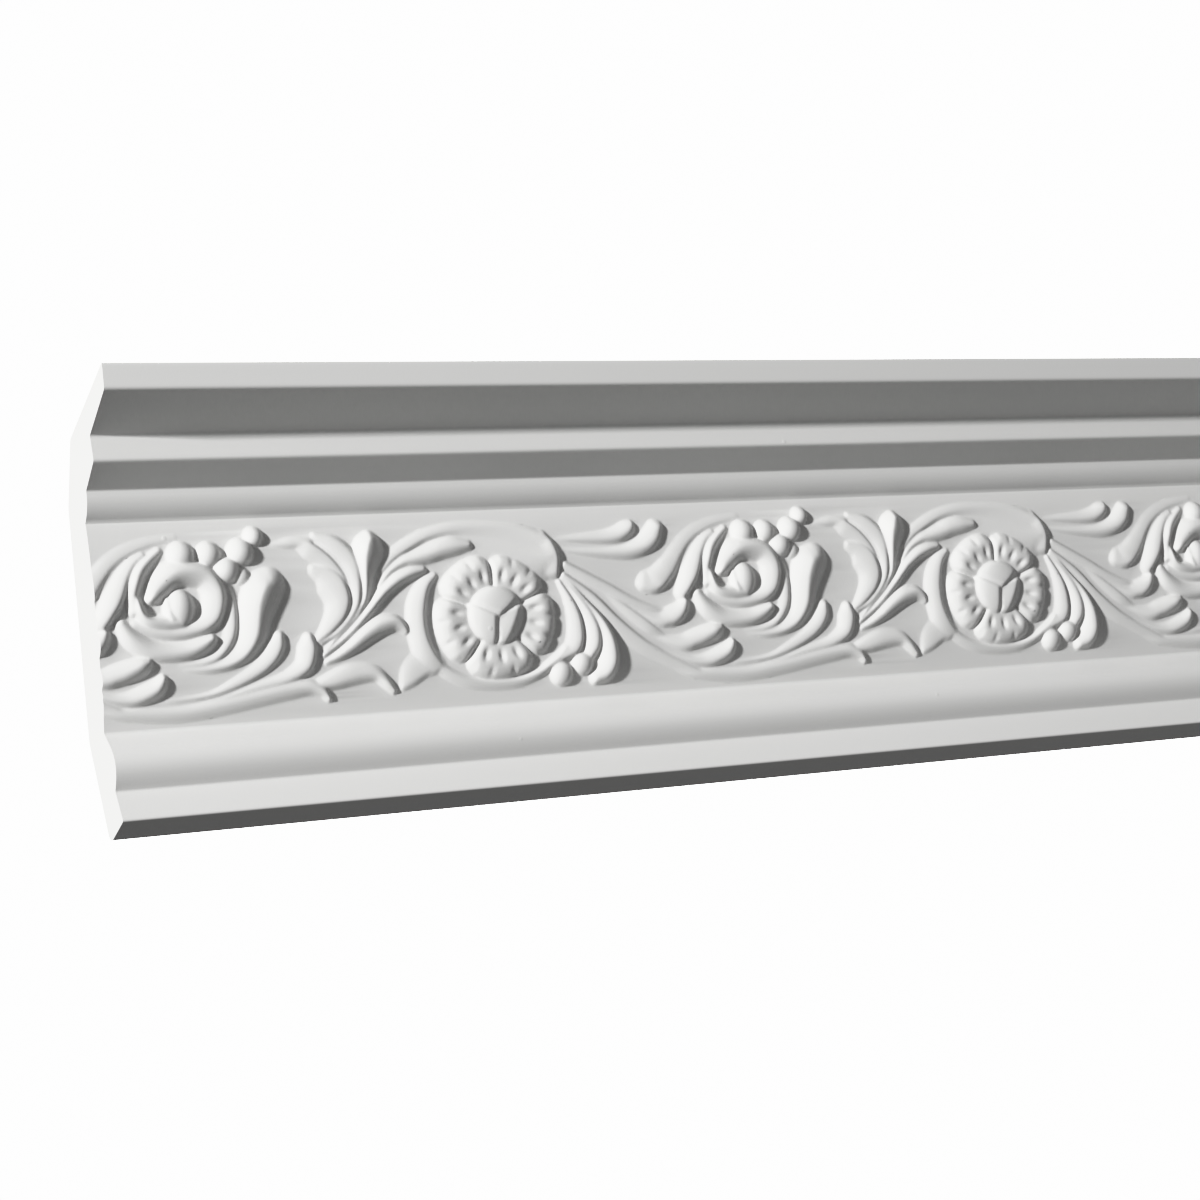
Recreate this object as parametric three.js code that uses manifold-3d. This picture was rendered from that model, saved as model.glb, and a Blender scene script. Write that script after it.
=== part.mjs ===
// Cornice moulding with a scroll-and-rosette frieze, one solid, millimetres.
// X runs along the moulding, Y towards the wall, Z up.
// The origin is the middle of the strip that lies on the wall.
import * as THREE from "three";
import { mergeVertices } from "three/addons/utils/BufferGeometryUtils.js";
import Module from "manifold-3d";

// Overall sizes
const DROP = 175; // height on the wall
const PROJECTION = 125; // depth on the ceiling
const REPEAT = 300; // length of one scroll and one rosette
const REPEATS = 3; // how many repeats one length holds

// Mouldings on the front, from the ceiling down: run towards the wall, and fall
const TOP_FILLET_RUN = 4.5;
const TOP_FILLET_FALL = 11.4;
const UPPER_SOFFIT_RUN = 30.8;
const UPPER_SOFFIT_FALL = 4.2;
const FASCIA_RUN = 2.4;
const FASCIA_FALL = 11.9;
const LOWER_SOFFIT_RUN = 18;
const LOWER_SOFFIT_FALL = 4.4;
const OVOLO_RUN = 10.5;
const OVOLO_FALL = 10.8;
const OVOLO_BULGE = 2;
const FRIEZE_BULGE = 3;
const FRIEZE_FLATNESS = 3.5; // power of the swelling: the higher, the flatter the middle
const BEAD_FALL = 28.2;
const BEAD_BULGE = 7.3;
const BEAD_SAG = 1.3; // the higher, the lower the bead is fullest
const BEAD_LEAN = 0.06; // run of the bead for its fall
const FOOT_FILLET_FALL = 15.6;
const FOOT_FILLET_RUN = -2; // the foot comes forward a little
const FOOT_SET_BACK = 103.2; // from the front edge to the foot of the bead

// Back of the moulding
const WALL_STRIP = 51; // height of the strip on the wall, with its rounded foot
const CEILING_STRIP = 62; // depth of the strip on the ceiling
const BACK_CHAMFER = 23;
const FOOT_ROUNDING = 5.2;

// Carving
const DEPTH = 1.25; // real height over the frieze of one millimetre drawn
const SINK = 0.8; // how far the carved forms reach into the frieze, in the drawing
const STATION = 17; // spacing of the sections along a leaf, in the drawing
const SLENDER = 9; // width below which a leaf has a plain ridged section, in the drawing
const SHOULDER = 0.62; // where the side of a broad leaf turns over to its foot, as a share of the width
const BLUNT = 2; // reach of a leaf's tip above which the tip gets a section of its own
const TIP = 0.72; // where that section stands, as a share of the reach

// The carving is drawn in millimetres, on a repeat and a frieze of these sizes
const DRAWN_REPEAT = 240;
const DRAWN_FRIEZE = 76.3;

const BULGE_STEPS = 4;
const ARC_STEPS = 4;
const BEAD_STEPS = 6;
const TOLERANCE = 1e-3;

const LENGTH = REPEAT * REPEATS;

const wasm = await Module();
wasm.setup();

// Front and back outline

// Points of one member from a start point, without the start: straight, or swelling outwards.
// A sag over 1 moves the fullest place down.
function member(start, run, fall, bulge = 0, steps = 1, power = 2, sag = 1) {
  const length = Math.hypot(run, fall);
  const points = [];
  for (let i = 1; i <= steps; i += 1) {
    const share = i / steps;
    const swell = bulge * (1 - Math.abs(2 * share ** sag - 1) ** power);
    points.push([
      start[0] + run * share - (swell * fall) / length,
      start[1] - fall * share - (swell * run) / length,
    ]);
  }
  return points;
}

// Outline as [distance behind the front edge, height below the ceiling], from the front edge down.
function outline() {
  const points = [[0, 0]];
  const add = (...sizes) => points.push(...member(points[points.length - 1], ...sizes));
  add(TOP_FILLET_RUN, TOP_FILLET_FALL);
  add(UPPER_SOFFIT_RUN, UPPER_SOFFIT_FALL);
  add(FASCIA_RUN, FASCIA_FALL);
  add(LOWER_SOFFIT_RUN, LOWER_SOFFIT_FALL);
  add(OVOLO_RUN, OVOLO_FALL, OVOLO_BULGE, ARC_STEPS);
  const top = points[points.length - 1];
  const fall = DROP + top[1] - BEAD_FALL - FOOT_FILLET_FALL;
  const run = FOOT_SET_BACK - top[0] - BEAD_FALL * BEAD_LEAN;
  add(run, fall, FRIEZE_BULGE, BULGE_STEPS, FRIEZE_FLATNESS);
  const bottom = points[points.length - 1];
  add(FOOT_SET_BACK - bottom[0], BEAD_FALL, BEAD_BULGE, BEAD_STEPS, 2, BEAD_SAG);
  add(FOOT_FILLET_RUN, FOOT_FILLET_FALL);
  const corner = [PROJECTION - FOOT_ROUNDING, FOOT_ROUNDING - DROP];
  for (let i = 0; i <= ARC_STEPS; i += 1) {
    const angle = (i / ARC_STEPS - 1) * (Math.PI / 2);
    points.push([
      corner[0] + FOOT_ROUNDING * Math.cos(angle),
      corner[1] + FOOT_ROUNDING * Math.sin(angle),
    ]);
  }
  points.push([PROJECTION, WALL_STRIP - DROP]);
  points.push([CEILING_STRIP + BACK_CHAMFER, -BACK_CHAMFER]);
  points.push([CEILING_STRIP, 0]);
  return { points, top, bottom };
}

const profile = outline();
const ORIGIN_HEIGHT = (WALL_STRIP + FOOT_ROUNDING) / 2 - DROP; // middle of the flat strip
const FRIEZE = Math.hypot(
  profile.top[0] - profile.bottom[0],
  profile.top[1] - profile.bottom[1],
);
const FRIEZE_UP = [
  (profile.top[0] - profile.bottom[0]) / FRIEZE,
  (profile.top[1] - profile.bottom[1]) / FRIEZE,
];
const FRIEZE_OUT = [-FRIEZE_UP[1], FRIEZE_UP[0]];

// Solids

function solidFrom(geometry) {
  geometry.deleteAttribute("normal");
  geometry.deleteAttribute("uv");
  const merged = mergeVertices(geometry, TOLERANCE);
  const solid = new wasm.Manifold(
    new wasm.Mesh({
      numProp: 3,
      vertProperties: new Float32Array(merged.getAttribute("position").array),
      triVerts: new Uint32Array(merged.getIndex().array),
    }),
  );
  return solid;
}

// Turns a point of the drawing (along, up the frieze, height over it) into a point of the part.
function onFrieze(along, up, height) {
  const share = (up / DRAWN_FRIEZE) * 2 - 1;
  const swell = FRIEZE_BULGE * (1 - Math.min(1, Math.abs(share)) ** FRIEZE_FLATNESS);
  const out = swell + height * DEPTH;
  const climb = (up * FRIEZE) / DRAWN_FRIEZE;
  return [
    (along * REPEAT) / DRAWN_REPEAT,
    profile.bottom[0] + climb * FRIEZE_UP[0] + out * FRIEZE_OUT[0] - PROJECTION,
    profile.bottom[1] + climb * FRIEZE_UP[1] + out * FRIEZE_OUT[1] - ORIGIN_HEIGHT,
  ];
}

// Closed body from rings of points in the drawing, each ring the same count, with a point at each end.
function ringed(start, rings, end) {
  const count = rings[0].length;
  const drawn = [start, ...rings.flat(), end];
  const positions = drawn.flatMap((point) => onFrieze(...point));
  const last = drawn.length - 1;
  const triangles = [];
  for (let j = 0; j < count; j += 1) {
    const next = (j + 1) % count;
    triangles.push(0, 1 + next, 1 + j);
    for (let i = 0; i + 1 < rings.length; i += 1) {
      const near = 1 + i * count;
      const far = near + count;
      triangles.push(near + j, near + next, far + next);
      triangles.push(near + j, far + next, far + j);
    }
    const rim = 1 + (rings.length - 1) * count;
    triangles.push(last, rim + j, rim + next);
  }
  const build = (indices) =>
    new wasm.Manifold(
      new wasm.Mesh({
        numProp: 3,
        vertProperties: new Float32Array(positions),
        triVerts: new Uint32Array(indices),
      }),
    );
  const solid = build(triangles);
  return solid.volume() > 0 ? solid : build(triangles.reverse());
}

// Height of a rounded form at a share of its half width, from 1 on the ridge to 0 at the foot.
function roundedHeight(share, power = 0.8) {
  return Math.max(0, 1 - share * share) ** power;
}

// Value of a list spread evenly over the length of a leaf; one value holds all along.
function spread(values, share) {
  if (values.length === 1) return values[0];
  const place = share * (values.length - 1);
  const low = Math.min(Math.floor(place), values.length - 2);
  return values[low] + (values[low + 1] - values[low]) * (place - low);
}

// A leaf whose ridge runs along a smooth curve, with its own width on either side of the ridge.
// It runs on past its ends by the geometric mean of the two widths there.
function leaf({ path, left, right, high }) {
  const curve = new THREE.CatmullRomCurve3(
    path.map(([u, v]) => new THREE.Vector3(u, v, 0)),
    false,
    "catmullrom",
    0.5,
  );
  const slender = Math.max(...left) + Math.max(...right) < SLENDER;
  const stations = Math.max(3, Math.round(curve.getLength() / STATION));
  const reach = (share) => Math.sqrt(spread(left, share) * spread(right, share));
  const across = [
    [1, 0],
    [SHOULDER, roundedHeight(SHOULDER)],
    [0, 1],
    [-SHOULDER, roundedHeight(SHOULDER)],
    [-1, 0],
  ].filter((_, i) => !slender || i % 2 === 0);
  // One section; past moves it beyond the end of the curve, as a share of the reach.
  const section = (share, past = 0) => {
    const point = curve.getPoint(share);
    const forward = curve.getTangent(share);
    const onward = reach(share) * past;
    const narrowing = Math.sqrt(1 - past * past);
    const peak = spread(high, share) * roundedHeight(past);
    return across.map(([side, height]) => {
      const off = side * narrowing * spread(side > 0 ? left : right, share);
      return [
        point.x + onward * forward.x - off * forward.y,
        point.y + onward * forward.y + off * forward.x,
        height > 0 ? peak * height : -SINK,
      ];
    });
  };
  const closing = (share, onward) => {
    const point = curve.getPoint(share);
    const forward = curve.getTangent(share);
    return [point.x + onward * forward.x, point.y + onward * forward.y, -SINK];
  };
  const rings = [];
  for (let i = 0; i <= stations; i += 1) rings.push(section(i / stations));
  if (reach(1) > BLUNT) rings.push(section(1, TIP));
  return ringed(closing(0, -reach(0)), rings, closing(1, reach(1)));
}

// A round berry or the eye of the scroll: a foot, one ring and the top.
const BERRY_SIDES = 6;
const BERRY_RING = 0.8; // radius of the ring, as a share
const BERRY_POWER = 0.55; // the lower, the squarer the dome

function berry({ at, radius, high, stretch = 1 }) {
  const ring = (share, height) =>
    Array.from({ length: BERRY_SIDES }, (_, i) => {
      const angle = (i / BERRY_SIDES) * 2 * Math.PI;
      const out = radius * share;
      return [at[0] + out * Math.cos(angle), at[1] + out * stretch * Math.sin(angle), height];
    });
  const rings = [ring(1, -SINK), ring(BERRY_RING, high * roundedHeight(BERRY_RING, BERRY_POWER))];
  return ringed([...at, -SINK], rings, [...at, high]);
}

// The rosette: five rolled petals round a bud that three furrows split.
const ROSETTE_CENTRE = [157.6, 34];
const ROSETTE_STRETCH = [1, 0.96]; // along, and up the frieze
const PETAL_GAPS = [24, 91, 157, 232, 311]; // degrees
const PETAL_RADIUS = 24.9;
const PETAL_HEIGHT = 3.3;
const PETAL_ROOT = 8; // radius at which a petal starts, under the bud
const PETAL_CROWN = 0.6; // where the petal is highest, between its root and its rim
const PETAL_NOTCH = 0.3; // how far the rim draws in at the gap between two petals
const PETAL_DIP = 0.42; // how far the petal dips towards its root
const GAP_HEIGHT = 0.6; // height at the gap between two petals
const PETAL_SIDES = 4;
const PETAL_RINGS = [1, 0.93, 0.6, 0.2, 0];
const BUD_RADIUS = 11.6;
const BUD_HEIGHT = 5;
const BUD_FOOT = 1.6;
const BUD_POWER = 0.4; // the lower, the squarer the dome
const BUD_SIDES = 9;
const BUD_RING = 0.78;
const FURROWS = [152, -93, 21]; // degrees
const FURROW_DEPTH = 1.1;
const FURROW_HALF = 1.3; // half width at the top of the bud
const FURROW_END = 0.72; // how far a furrow runs out, as a share of the bud's radius

function polar(radius, angle, height) {
  return [
    ROSETTE_CENTRE[0] + radius * Math.cos(angle) * ROSETTE_STRETCH[0],
    ROSETTE_CENTRE[1] + radius * Math.sin(angle) * ROSETTE_STRETCH[1],
    height,
  ];
}

function budHeight(share) {
  return BUD_FOOT + (BUD_HEIGHT - BUD_FOOT) * roundedHeight(share, BUD_POWER);
}

function petals() {
  const ring = (share) =>
    PETAL_GAPS.flatMap((start, k) => {
      const width = (PETAL_GAPS[(k + 1) % PETAL_GAPS.length] - start + 360) % 360;
      return Array.from({ length: PETAL_SIDES }, (_, i) => {
        const angle = ((start + (width * i) / PETAL_SIDES) * Math.PI) / 180;
        const side = Math.abs((2 * i) / PETAL_SIDES - 1);
        const rim = PETAL_RADIUS * Math.sqrt(1 - PETAL_NOTCH * side ** 7);
        const outside = Math.max(0, (share - PETAL_CROWN) / (1 - PETAL_CROWN));
        const inside = Math.max(0, (PETAL_CROWN - share) / PETAL_CROWN);
        const roll = (1 - outside ** 2.4) ** 0.7 * (1 - PETAL_DIP * inside ** 1.4);
        const height = side < 1 ? Math.max(GAP_HEIGHT, PETAL_HEIGHT * roll) : GAP_HEIGHT;
        const radius = PETAL_ROOT + (rim - PETAL_ROOT) * share;
        return polar(radius, angle, share === 1 ? -SINK : height);
      });
    });
  return ringed(polar(0, 0, -SINK), PETAL_RINGS.map(ring), polar(0, 0, BUD_FOOT));
}

function bud() {
  const ring = (share, height) =>
    Array.from({ length: BUD_SIDES }, (_, i) =>
      polar(BUD_RADIUS * share, (i / BUD_SIDES) * 2 * Math.PI, height),
    );
  const rings = [ring(1, -SINK), ring(BUD_RING, budHeight(BUD_RING))];
  return ringed(polar(0, 0, -SINK), rings, polar(0, 0, BUD_HEIGHT));
}

// A furrow is a thin wedge cut from the top of the bud along one spoke, from just behind the middle.
function furrow(degrees) {
  const angle = (degrees * Math.PI) / 180;
  const above = BUD_HEIGHT + FURROW_DEPTH;
  const rings = [-0.02, FURROW_END].map((share) => {
    const spoke = polar(BUD_RADIUS * share, angle, 0);
    const place = (off, height) => [
      spoke[0] - off * Math.sin(angle),
      spoke[1] + off * Math.cos(angle),
      height,
    ];
    const half = 2 * FURROW_HALF;
    return [place(0, budHeight(share) - FURROW_DEPTH), place(half, above), place(-half, above)];
  });
  const start = polar(-BUD_RADIUS * 0.06, angle, BUD_HEIGHT);
  const end = polar(BUD_RADIUS * 0.96, angle, BUD_HEIGHT);
  return ringed(start, rings, end);
}

// Leaves, drawn as [along, up the frieze] on their ridges, root first.
// Left and right are the widths on either side of the ridge.
const STEMS = [
  {
    path: [
      [190.2, 53.3], [199.2, 48.4], [209.3, 42.9], [215.3, 39.4], [221.4, 36.2], [228.5, 33.9],
    ],
    left: [1.4, 1.5, 1.5, 1.4, 1.3, 1.2],
    right: [2.5, 3, 3, 3, 3, 3],
    high: [1.5, 1.4, 1.3, 1.2, 1, 0.8],
  },
  {
    path: [[210.7, 38.4], [216.5, 33.9], [223.4, 28.7], [229.5, 23.9]],
    left: [0.8, 1, 1, 1],
    right: [1.2, 3, 3.5, 3],
    high: [0.2, 0.7, 0.9, 0.7],
  },
  {
    path: [[189.3, 48.9], [201.3, 39.9], [211.3, 29.6], [228.4, 16.4], [234.5, 12.9], [246.5, 6.9]],
    left: [1.3],
    right: [2, 3.5, 6, 4, 3.5, 2.5],
    high: [1.2, 1.3, 1.2, 0.9, 0.8, 0.8],
  },
];
const HOOD = [
  {
    path: [[224.3, 40.9], [232.6, 43.3], [239.8, 51.3], [243.1, 55.9], [253.5, 64.4], [272, 69.5]],
    left: [5, 8, 6, 5, 4, 2],
    right: [0.8, 2.4, 2.2, 1.8, 1.2, 1],
    high: [1.2, 2.2, 1.2, 0.9, 0.55, 0.25],
  },
  {
    path: [[2.1, 38.3], [4.7, 41.8], [7.6, 45.8], [12.1, 54.9], [15.3, 59.9], [19.6, 63.4]],
    left: [4, 5, 5.8, 4.5, 3.2, 2],
    right: [1.5, 2, 2, 1.2, 0.9, 0.6],
    high: [1.5, 2.2, 2.4, 1.5, 1.1, 0.7],
  },
  {
    path: [[14, 41.5], [14.6, 47], [15.3, 52], [17.2, 57], [20.3, 61], [25.5, 65]],
    left: [2.5, 2.8, 2.8, 2.5, 2, 1.5],
    right: [1.5, 1.8, 2, 2, 2, 1.5],
    high: [1.2, 1.8, 2, 1.8, 1.5, 0.8],
  },
];
const FINGERS = [
  {
    path: [[223.5, 31.4], [230.2, 27.9], [235.9, 27.9], [239.8, 29.4], [242.3, 32], [243.8, 34.8]],
    left: [2.5, 4, 6, 6, 4, 1.5],
    right: [1.2, 1.8, 2.2, 2.5, 2.5, 2],
    high: [0.8, 1.4, 2, 2.6, 2.8, 2.2],
  },
  {
    path: [[-7.5, 19.9], [2.2, 18], [8.9, 19.3], [13.7, 21.3], [17.5, 23.3], [20.4, 24.6]],
    left: [2.5, 4.5, 5.5, 5, 3.5, 1.2],
    right: [1.2, 1.6, 2, 2.4, 2.6, 2],
    high: [0.8, 1.4, 1.8, 2.2, 2.4, 1.8],
  },
  {
    path: [[-6, 14.5], [2.5, 11.9], [9.2, 10.4], [20.6, 13.3], [23.6, 16.3], [24.9, 18.8]],
    left: [1.5, 2, 3.5, 4.5, 3, 1.2],
    right: [1, 1, 1.5, 2.5, 2.5, 2],
    high: [0.6, 0.8, 1.3, 2.3, 2.4, 1.8],
  },
  {
    path: [[9, 38.5], [13, 32.5], [19, 28.3], [33, 27.2], [38.5, 29.3], [42, 31.5]],
    left: [2.5, 4, 4.5, 4.4, 3.4, 1.8],
    right: [2.5, 4, 3.5, 3.2, 3.6, 3.2],
    high: [1.8, 2, 2, 2.5, 2.9, 2.8],
  },
];
const SCROLL = [
  {
    path: [
      [21.5, 46], [29.5, 55.8], [36, 57], [46, 51], [45.3, 40.3], [37, 34.8], [30, 34], [14, 38],
    ],
    left: [2, 5.5, 4.5, 3, 2.8, 2.6, 2.6, 2],
    right: [3, 5, 5.5, 5.8, 5.5, 3.5, 3, 2.5],
    high: [1.5, 3.8, 3.8, 3.4, 2.8, 2.2, 2, 1],
  },
  {
    path: [[50.5, 51], [51.8, 45], [50.5, 32], [47.5, 27.3], [37, 22.3], [30, 22.5]],
    left: [0.8, 1.2, 1.3, 1.2, 1, 0.8],
    right: [1.5, 2.8, 3.6, 3, 1.8, 1],
    high: [0.7, 1, 1.2, 1.1, 0.7, 0.2],
  },
  {
    path: [[31.7, 20.9], [47.4, 21.3], [57, 27.7], [59.9, 32.7], [63.5, 44.6], [68, 53.2]],
    left: [1, 3, 5, 6, 8.5, 7.5],
    right: [1, 2, 2.8, 3.4, 4.6, 4.6],
    high: [0.2, 1.6, 2.5, 3, 4, 3.6],
  },
];
const LOW_LEAVES = [
  {
    path: [[24, 9.5], [39.7, 10.7], [49.6, 13.4], [65.3, 22.3], [68.2, 26.8], [68.8, 30.8]],
    left: [1, 1.5, 3, 4.8, 4.8, 3],
    right: [0.8, 1, 1.3, 2, 2.2, 2],
    high: [0.15, 0.8, 1, 1.7, 2, 1.8],
  },
  {
    path: [[36, 7.5], [58, 12], [67, 13.6], [78.2, 18.5], [80.2, 22], [80.4, 29.5]],
    left: [1, 2.4, 3.2, 5, 5.5, 3],
    right: [0.8, 1.2, 1.6, 2.5, 2.5, 2],
    high: [0.15, 1, 1.3, 2.1, 2.3, 1.8],
  },
  {
    path: [[-6, 8], [20, 5], [45, 6.8], [60, 9.3], [79, 11.5], [86.5, 6.5]],
    left: [1.5, 2.6, 3, 3.2, 3, 1],
    right: [1.5, 3, 3.6, 3.8, 3.2, 1.2],
    high: [0.8, 1.2, 1.3, 1.5, 2, 1.8],
  },
];
const FAN = [
  {
    path: [[84, 28.5], [89, 32], [96.3, 42], [96.3, 46.5], [90.5, 55], [85, 56.5]],
    left: [2, 4.5, 8.5, 9.5, 8, 4],
    right: [1, 1.5, 2.2, 2, 1.4, 1],
    high: [0.8, 1.3, 1.9, 1.8, 1.1, 0.6],
  },
  {
    path: [[97.5, 47], [96.5, 52], [93.5, 57], [89.5, 61.5], [85, 65], [81.5, 66.8]],
    left: [2, 3, 4.5, 5.5, 6, 4.5],
    right: [0.8, 1, 1, 1, 1, 1],
    high: [1, 1.1, 1.2, 1.3, 1.2, 0.7],
  },
  {
    path: [[85, 27.5], [97, 35.8], [100.5, 41], [101.8, 52], [101, 57.5], [95, 65.5]],
    left: [1, 2.4, 3.2, 5.5, 6.8, 7],
    right: [0.8, 1.2, 1.4, 1.7, 2.2, 3],
    high: [0.8, 1.7, 2, 2.3, 2.3, 1.9],
  },
  {
    path: [[86.7, 24.9], [99.4, 36.3], [104.1, 43.8], [105, 48.8], [106, 58.6], [109, 65.6]],
    left: [1, 1.5, 2, 2.3, 4.2, 3.5],
    right: [1, 1.5, 2, 2.6, 5.2, 4.5],
    high: [0.8, 1.5, 2, 2.3, 3.6, 3.5],
  },
  {
    path: [[85.6, 22.9], [97.3, 31.3], [107, 40.8], [110.9, 44.8], [118.9, 50.3], [129.2, 53.6]],
    left: [1, 1.4, 1.8, 2.2, 3.2, 1.5],
    right: [1, 2, 2.5, 2.6, 2.6, 1.8],
    high: [0.8, 1.6, 2.3, 2.4, 2.4, 1.6],
  },
  {
    path: [[110.6, 47.9], [115.5, 53.4], [126.4, 57.9], [132.2, 59.3], [143, 61.8], [149.1, 62.3]],
    left: [1, 1.8, 3.2, 4, 4.5, 2.5],
    right: [1, 1.2, 2, 2.4, 2.2, 1.8],
    high: [0.8, 1, 1.4, 1.7, 2, 1.8],
  },
  {
    path: [[112.6, 54], [117.5, 58.5], [124.5, 62.4], [139.5, 67.6], [149.6, 68.2], [160, 68.5]],
    left: [2, 3.5, 4, 3, 2.5, 2],
    right: [1, 1.2, 1.2, 1.2, 1.2, 1],
    high: [0.8, 1, 1.1, 0.9, 0.8, 0.6],
  },
  {
    path: [[86.6, 20.4], [97.2, 25.8], [102, 29.3], [110.9, 33.6], [115, 34.3], [119.8, 30.3]],
    left: [1, 2.6, 3.2, 3.6, 2.6, 1.2],
    right: [1.2, 2.3, 2.6, 3.4, 3.6, 1.6],
    high: [0.8, 1.9, 2.3, 2.4, 2.2, 1.6],
  },
  {
    path: [[82.8, 11.3], [89.3, 12.3], [100.3, 14.6], [104.3, 14.8], [110.2, 10.8], [112.8, 7.9]],
    left: [3, 5, 4.8, 3.8, 2.2, 1.2],
    right: [1.8, 2.6, 3.2, 3, 2.2, 1.4],
    high: [1.6, 1.8, 1.7, 1.7, 2, 1.6],
  },
];
const SHEATH = [
  {
    path: [[181.5, 64.5], [184.5, 60], [185.8, 55], [185.5, 50]],
    left: [1.5, 2.2, 2.6, 1.8],
    right: [14, 26, 27, 20],
    high: [1.1, 2.3, 2.5, 1.9],
  },
  {
    path: [[190, 63], [200, 63], [209, 62.8], [216, 63.6], [220.5, 66], [222, 68]],
    left: [1.5, 2.5, 3.5, 4.4, 4, 2],
    right: [1, 1.6, 2.2, 2.8, 3, 2],
    high: [0.5, 0.9, 1.4, 2, 2.3, 2],
  },
  {
    path: [[190, 58.5], [200, 57.8], [210, 57], [226, 58.5], [231, 61.5], [233.8, 66]],
    left: [1, 1.5, 2, 4.4, 5.5, 4.5],
    right: [1, 1.6, 2.4, 3.6, 3.6, 3],
    high: [0.5, 0.8, 1.2, 2.2, 2.6, 2.4],
  },
  {
    path: [[60, 65.5], [70, 65.5], [82, 65.5]],
    left: [2.5],
    right: [1.8],
    high: [0.8],
  },
];
const CALYX = [
  {
    path: [[134, 51], [130, 47], [127.5, 41], [127, 27], [129.5, 21], [132.5, 17]],
    left: [1, 1.8, 2.2, 2.2, 1.8, 1],
    right: [1.5, 4, 6, 6.5, 7.5, 7],
    high: [1, 1.8, 2.2, 2.3, 2, 1.4],
  },
  {
    path: [[131, 16], [126, 14.3], [121, 11.5], [117, 9]],
    left: [1.5, 1.5, 1.5, 1],
    right: [8, 7.5, 5, 1.5],
    high: [1, 1.1, 1.1, 0.8],
  },
  {
    path: [[131, 18], [143, 10.5], [158, 8.2], [166, 8.6], [179, 13.5], [187, 20]],
    left: [1.5],
    right: [3, 3.5, 3, 2.8, 2, 1.5],
    high: [1, 1.1, 1.1, 1.2, 1.6, 1.4],
  },
];
const RIGHT_LEAVES = [
  {
    path: [[187, 46.5], [190.8, 40], [194, 28], [193.5, 22.5], [185.5, 16.3], [178, 12.8]],
    left: [0.8, 1, 1.4, 1.6, 1.8, 1.5],
    right: [1.2, 3, 5.5, 6, 3.5, 2],
    high: [1, 1.4, 1.9, 2, 1.8, 1.4],
  },
  {
    path: [[188.5, 47.5], [193.5, 41], [197.5, 35], [200.8, 25], [200, 20], [197.5, 16.5]],
    left: [0.7, 1.2, 1.6, 2.4, 2.6, 2.2],
    right: [1, 2, 3.2, 5, 5, 3.5],
    high: [1, 1.6, 2.1, 2.6, 2.6, 2.2],
  },
  {
    path: [[190.5, 46.8], [197, 38.5], [205.6, 25], [206.9, 19], [204, 8.8], [199.5, 7]],
    left: [0.7, 1.2, 2.6, 3.2, 3.2, 2.4],
    right: [0.8, 1.6, 4, 5.2, 5.5, 3.5],
    high: [1, 1.8, 3.2, 3.6, 3.3, 2.5],
  },
];
const BERRIES = [
  { at: [31, 44], radius: 9.5, high: 2.2 },
  { at: [31, 43.2], radius: 6, high: 4, stretch: 1.3 },
  { at: [33.6, 62.6], radius: 5.3, high: 3.5 },
  { at: [44.2, 63.2], radius: 4.8, high: 3.2 },
  { at: [56.8, 63.6], radius: 5.1, high: 3.4 },
  { at: [50.4, 56.6], radius: 5, high: 3.4 },
  { at: [56.8, 54.6], radius: 3.6, high: 2.2 },
  { at: [61.8, 68.7], radius: 3.6, high: 2.6 },
  { at: [62.6, 61.2], radius: 3.2, high: 2 },
  { at: [184.3, 10], radius: 4.9, high: 3.2 },
  { at: [193.7, 13.3], radius: 4.6, high: 3 },
];

function carving() {
  const drawn = [STEMS, HOOD, FINGERS, SCROLL, LOW_LEAVES, FAN, SHEATH, CALYX, RIGHT_LEAVES];
  const cutBud = FURROWS.reduce((solid, degrees) => solid.subtract(furrow(degrees)), bud());
  const forms = [...drawn.flat().map(leaf), ...BERRIES.map(berry), petals(), cutBud];
  return forms.reduce((solid, form) => solid.add(form));
}

function strip() {
  const shape = new THREE.Shape(
    profile.points.map(([back, up]) => new THREE.Vector2(back - PROJECTION, up - ORIGIN_HEIGHT)),
  );
  const geometry = new THREE.ExtrudeGeometry(shape, { depth: LENGTH, bevelEnabled: false });
  // The outline's axes become Y and Z, and the extrusion runs along X.
  geometry.applyMatrix4(new THREE.Matrix4().set(0, 0, 1, 0, 1, 0, 0, 0, 0, 1, 0, 0, 0, 0, 0, 1));
  return solidFrom(geometry);
}

// A box of the part's length that is roomy in the other directions.
function lengthBox() {
  const room = 2 * (PROJECTION + DROP);
  const geometry = new THREE.BoxGeometry(LENGTH, room, room);
  geometry.translate(LENGTH / 2, 0, 0);
  return solidFrom(geometry);
}

function cornice() {
  const repeat = carving();
  let solid = strip();
  for (let k = -1; k <= REPEATS; k += 1) {
    solid = solid.add(repeat.translate(k * REPEAT, 0, 0).intersect(lengthBox()));
  }
  return solid.translate(-LENGTH / 2, 0, 0);
}

function meshFrom(solid, name, material) {
  const { vertProperties, triVerts } = solid.getMesh();
  const geometry = new THREE.BufferGeometry();
  geometry.setAttribute("position", new THREE.BufferAttribute(vertProperties, 3));
  geometry.setIndex(new THREE.BufferAttribute(triVerts, 1));
  geometry.computeVertexNormals();
  const mesh = new THREE.Mesh(geometry, material);
  mesh.name = name;
  return mesh;
}

const primed = new THREE.MeshStandardMaterial({ color: 0xe6e5e3, roughness: 0.6 });
const group = new THREE.Group();
group.name = "cornice_moulding";
group.add(meshFrom(cornice(), "cornice", primed));

export default group;
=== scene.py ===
"""Cornice moulding with a scroll-and-rosette frieze, dressed over its frame. Metres, X along the length."""

import math

import bpy
import numpy as np
from mathutils import Matrix, Vector


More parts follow.
